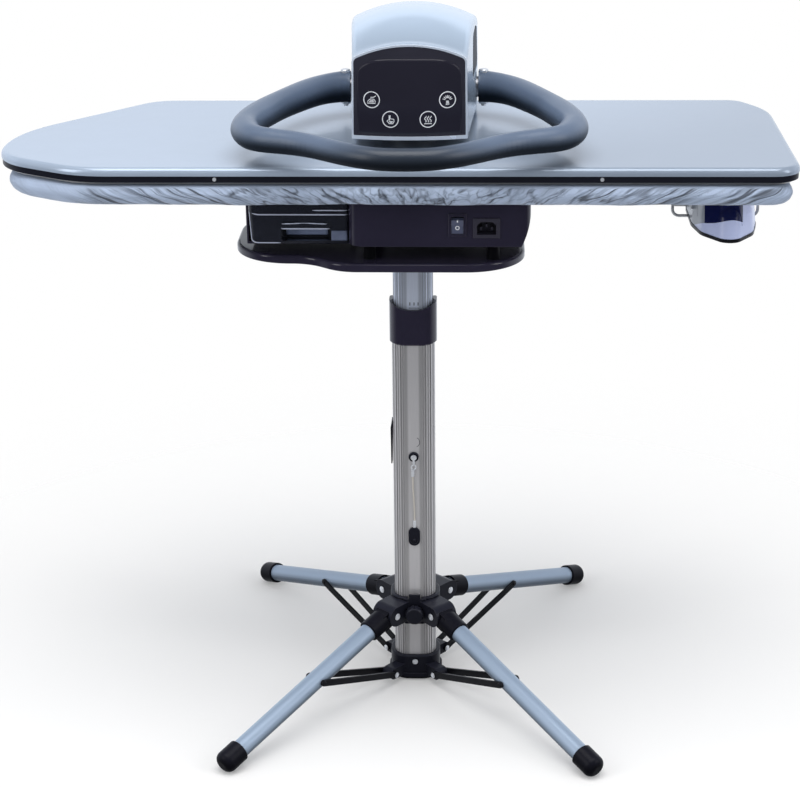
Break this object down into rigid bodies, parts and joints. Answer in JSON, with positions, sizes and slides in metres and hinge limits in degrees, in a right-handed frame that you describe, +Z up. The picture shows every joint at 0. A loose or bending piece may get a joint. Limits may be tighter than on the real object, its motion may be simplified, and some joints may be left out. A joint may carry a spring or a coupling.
{
  "type": "steam ironing press",
  "caption": "Steam ironing press with a boat-shaped padded bed and hinged heated platen, bow handle, water drawer and slung travel iron, on a height-adjustable column with folding braced legs",
  "frame": {"origin": "on the floor, under the middle of the column", "axes": "+Z up, +X to the operator's right along the bed, +Y away from the operator"},
  "size_m": [1.017, 0.601, 0.9467],
  "materials": {
    "brushed_tube": "brushed extrusion with fine flutes",
    "leg_paint": "satin silver-blue paint",
    "black_moulding": "fine moulded grain",
    "black_rubber": "soft matt rubber",
    "bright_fastener": "plated, domed heads",
    "black_steel": "satin black paint",
    "lanyard_wire": "stranded wire in a clear jacket",
    "gloss_black": "polished moulding",
    "tank_smoke": "smoky translucent moulding",
    "circuit_green": "board with solder mask",
    "copper_coil": "wound coil and brass body",
    "bed_steel": "galvanised grey",
    "felt": "dense white felt",
    "cover_cloth": "silvered cotton, gathered at the hem",
    "platen_silver": "pressed shell with a glossy silver lacquer",
    "heat_aluminium": "machined casting",
    "element_steel": "oxidised sheath",
    "arm_silver": "pale silver lacquer",
    "inlay_dark": "fine grain",
    "bezel_silver": "satin plating",
    "touch_glass": "black touch panel with printed rings",
    "frame_steel": "zinc plated",
    "soft_grip": "soft grained foam grip",
    "iron_lilac": "pale lilac moulding",
    "iron_navy": "dark blue translucent moulding",
    "iron_grey": "pale grey moulding",
    "iron_plate": "black coated plate",
    "wire_chrome": "bright wire"
  },
  "bodies": {
    "stand": {"outer_tube": "brushed_tube", "column_collar": "gloss_black", "lower_hub": "black_moulding", "hub_foot": "black_rubber", "hub_fasteners": "bright_fastener", "column_plugs": "black_moulding", "pin_lanyard": "lanyard_wire"},
    "pin": {"lock_pin": "bright_fastener"},
    "catch": {"height_catch": "black_moulding"},
    "hub": {"upper_hub": "black_moulding", "leg_pivot_pins": "bright_fastener"},
    "knob": {"hub_knob": "black_moulding"},
    "machine": {"inner_tube": "brushed_tube", "platform": "gloss_black", "machine_feet": "black_rubber", "base_housing": "gloss_black", "rear_cover": "gloss_black", "bed_frame": "bed_steel", "bed_pad": "felt", "bed_cover": "cover_cloth", "switch_frame": "gloss_black", "mains_inlet": "black_moulding", "pump": "copper_coil", "circuit_board": "circuit_green", "hinge_bracket": "frame_steel", "hinge_pin": "frame_steel", "iron_cradle": "wire_chrome"},
    "tank": {"water_tank": "tank_smoke"},
    "rocker": {"rocker_switch": "gloss_black"},
    "arm": {"arm_cover": "arm_silver", "arm_frame": "frame_steel", "side_panels": "inlay_dark", "panel_trim": "bezel_silver", "control_panel": "touch_glass", "platen_shell": "platen_silver", "platen_band": "black_moulding", "heating_plate": "heat_aluminium", "heating_element": "element_steel", "platen_mount": "heat_aluminium", "shell_screws": "bright_fastener"},
    "handle": {"handle_shaft": "frame_steel", "handle_grip": "soft_grip", "handle_bolts": "bright_fastener"},
    "iron": {"iron_shell": "iron_lilac", "iron_sole": "iron_plate", "iron_tank": "iron_navy", "iron_handle": "iron_grey"},
    "leg_fl": {"leg_tube_fl": "leg_paint", "leg_ends_fl": "black_moulding"},
    "strut_fl": {"brace_fl": "black_steel"},
    "leg_fr": {"leg_tube_fr": "leg_paint", "leg_ends_fr": "black_moulding"},
    "strut_fr": {"brace_fr": "black_steel"},
    "leg_bl": {"leg_tube_bl": "leg_paint", "leg_ends_bl": "black_moulding"},
    "strut_bl": {"brace_bl": "black_steel"},
    "leg_br": {"leg_tube_br": "leg_paint", "leg_ends_br": "black_moulding"},
    "strut_br": {"brace_br": "black_steel"}
  },
  "joints": [
    {"name": "column_height", "type": "slide", "parent": "stand", "child": "machine", "axis": [0, 0, 1], "range_m": [-0.06, 0.2]},
    {"name": "stand_fold", "type": "slide", "parent": "stand", "child": "hub", "axis": [0, 0, 1], "range_m": [0, 0.195]},
    {"name": "knob_turn", "type": "hinge", "parent": "hub", "child": "knob", "pos_m": [0, -0.04, 0.111], "axis": [0, -1, 0], "range_deg": [0, 180]},
    {"name": "lock_pin_pull", "type": "slide", "parent": "stand", "child": "pin", "axis": [0, -1, 0], "range_m": [0, 0.008], "stiffness_N_per_m": 400, "springref_m": -0.002},
    {"name": "catch_swing", "type": "hinge", "parent": "stand", "child": "catch", "pos_m": [-0.0301, 0, 0.389], "axis": [0, 1, 0], "range_deg": [0, 25], "stiffness_Nm_per_rad": 0.05, "springref_deg": -5.73},
    {"name": "press_open", "type": "hinge", "parent": "machine", "child": "arm", "pos_m": [0, 0.266, 0.708], "axis": [-1, 0, 0], "range_deg": [0, 55]},
    {"name": "handle_lift", "type": "hinge", "parent": "arm", "child": "handle", "pos_m": [0, 0.12, 0.828], "axis": [-1, 0, 0], "range_deg": [0, 20]},
    {"name": "power_rocker", "type": "hinge", "parent": "machine", "child": "rocker", "pos_m": [0.0612, -0.119, 0.7046], "axis": [-1, 0, 0], "range_deg": [0, 24]},
    {"name": "tank_draw", "type": "slide", "parent": "machine", "child": "tank", "axis": [0, -1, 0], "range_m": [0, 0.15]},
    {"name": "iron_draw", "type": "slide", "parent": "machine", "child": "iron", "axis": [0, -1, 0], "range_m": [0, 0.19]},
    {"name": "leg_swing_fl", "type": "hinge", "parent": "hub", "child": "leg_fl", "pos_m": [-0.03637, -0.04258, 0.112], "axis": [0.7604, -0.6494, 0], "range_deg": [0, 53.3]},
    {"name": "brace_swing_fl", "type": "hinge", "parent": "stand", "child": "strut_fl", "pos_m": [-0.03507, -0.04106, 0.017], "axis": [-0.7604, 0.6494, 0], "range_deg": [0, 51.7]},
    {"name": "leg_swing_fr", "type": "hinge", "parent": "hub", "child": "leg_fr", "pos_m": [0.03637, -0.04258, 0.112], "axis": [0.7604, 0.6494, 0], "range_deg": [0, 53.3]},
    {"name": "brace_swing_fr", "type": "hinge", "parent": "stand", "child": "strut_fr", "pos_m": [0.03507, -0.04106, 0.017], "axis": [-0.7604, -0.6494, 0], "range_deg": [0, 51.7]},
    {"name": "leg_swing_bl", "type": "hinge", "parent": "hub", "child": "leg_bl", "pos_m": [-0.03637, 0.04258, 0.112], "axis": [-0.7604, -0.6494, 0], "range_deg": [0, 53.3]},
    {"name": "brace_swing_bl", "type": "hinge", "parent": "stand", "child": "strut_bl", "pos_m": [-0.03507, 0.04106, 0.017], "axis": [0.7604, 0.6494, 0], "range_deg": [0, 51.7]},
    {"name": "leg_swing_br", "type": "hinge", "parent": "hub", "child": "leg_br", "pos_m": [0.03637, 0.04258, 0.112], "axis": [-0.7604, 0.6494, 0], "range_deg": [0, 53.3]},
    {"name": "brace_swing_br", "type": "hinge", "parent": "stand", "child": "strut_br", "pos_m": [0.03507, 0.04106, 0.017], "axis": [0.7604, -0.6494, 0], "range_deg": [0, 51.7]}
  ],
  "couplings": [
    {"joint": "leg_swing_fl", "follows": "stand_fold", "rad_per_m": 4.769},
    {"joint": "brace_swing_fl", "follows": "stand_fold", "rad_per_m": 4.625},
    {"joint": "leg_swing_fr", "follows": "stand_fold", "rad_per_m": 4.769},
    {"joint": "brace_swing_fr", "follows": "stand_fold", "rad_per_m": 4.625},
    {"joint": "leg_swing_bl", "follows": "stand_fold", "rad_per_m": 4.769},
    {"joint": "brace_swing_bl", "follows": "stand_fold", "rad_per_m": 4.625},
    {"joint": "leg_swing_br", "follows": "stand_fold", "rad_per_m": 4.769},
    {"joint": "brace_swing_br", "follows": "stand_fold", "rad_per_m": 4.625}
  ]
}
